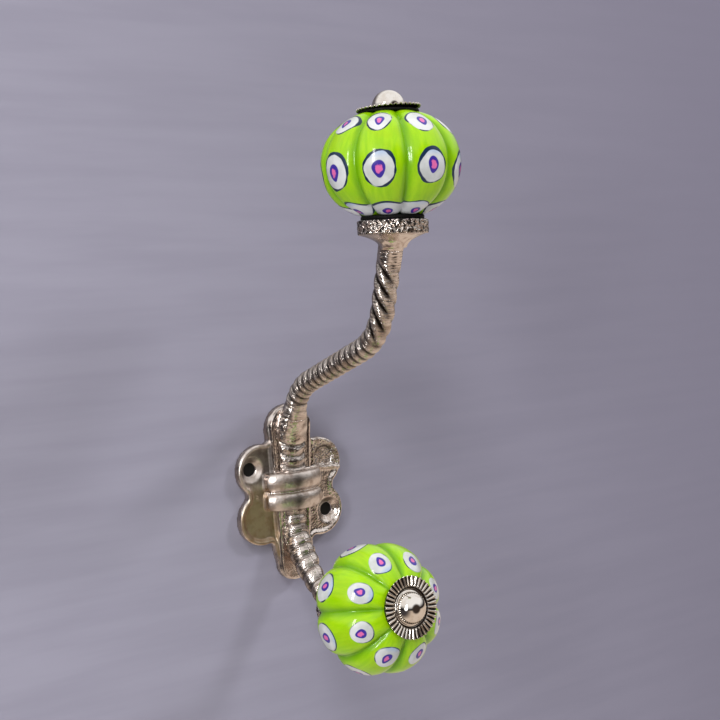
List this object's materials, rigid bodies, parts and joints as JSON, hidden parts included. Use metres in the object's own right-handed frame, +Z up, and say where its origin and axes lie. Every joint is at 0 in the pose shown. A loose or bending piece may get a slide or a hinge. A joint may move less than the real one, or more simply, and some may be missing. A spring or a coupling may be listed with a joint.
{
  "type": "double wall hook",
  "caption": "Cast double wall hook with a flower backplate, a rope-twist upper and lower arm, and a painted ceramic melon knob on each arm's cup.",
  "frame": {"origin": "centre of the backplate's rear face, on the wall plane", "axes": "+X to the right along the wall seen from the front, +Y into the wall, +Z up"},
  "size_m": [0.042, 0.0882, 0.1804],
  "materials": {
    "nickel_casting": "rough-cast iron with bright nickel plating",
    "seat_rubber": "matt black rubber",
    "green_glaze": "glossy hand-painted lime-green glaze with white, blue and pink dots",
    "rosette_plate": "crimped nickel-plated sheet",
    "polished_nickel": "polished nickel plate"
  },
  "bodies": {
    "root": {"hook_casting": "nickel_casting", "upper_seat_washer": "seat_rubber", "lower_seat_washer": "seat_rubber", "upper_front_gasket": "seat_rubber", "lower_front_gasket": "seat_rubber", "upper_rosette": "rosette_plate", "lower_rosette": "rosette_plate", "upper_dome_screw": "polished_nickel", "lower_dome_screw": "polished_nickel"},
    "upper_knob": {"upper_knob": "green_glaze"},
    "lower_knob": {"lower_knob": "green_glaze"}
  },
  "joints": [
    {"name": "upper_knob_turn", "type": "hinge", "parent": "root", "child": "upper_knob", "pos_m": [0, -0.0672, 0.1065], "axis": [0, 0, 1], "continuous": true},
    {"name": "lower_knob_turn", "type": "hinge", "parent": "root", "child": "lower_knob", "pos_m": [0, -0.05232, -0.03109], "axis": [0, -0.9763, 0.2164], "continuous": true}
  ]
}
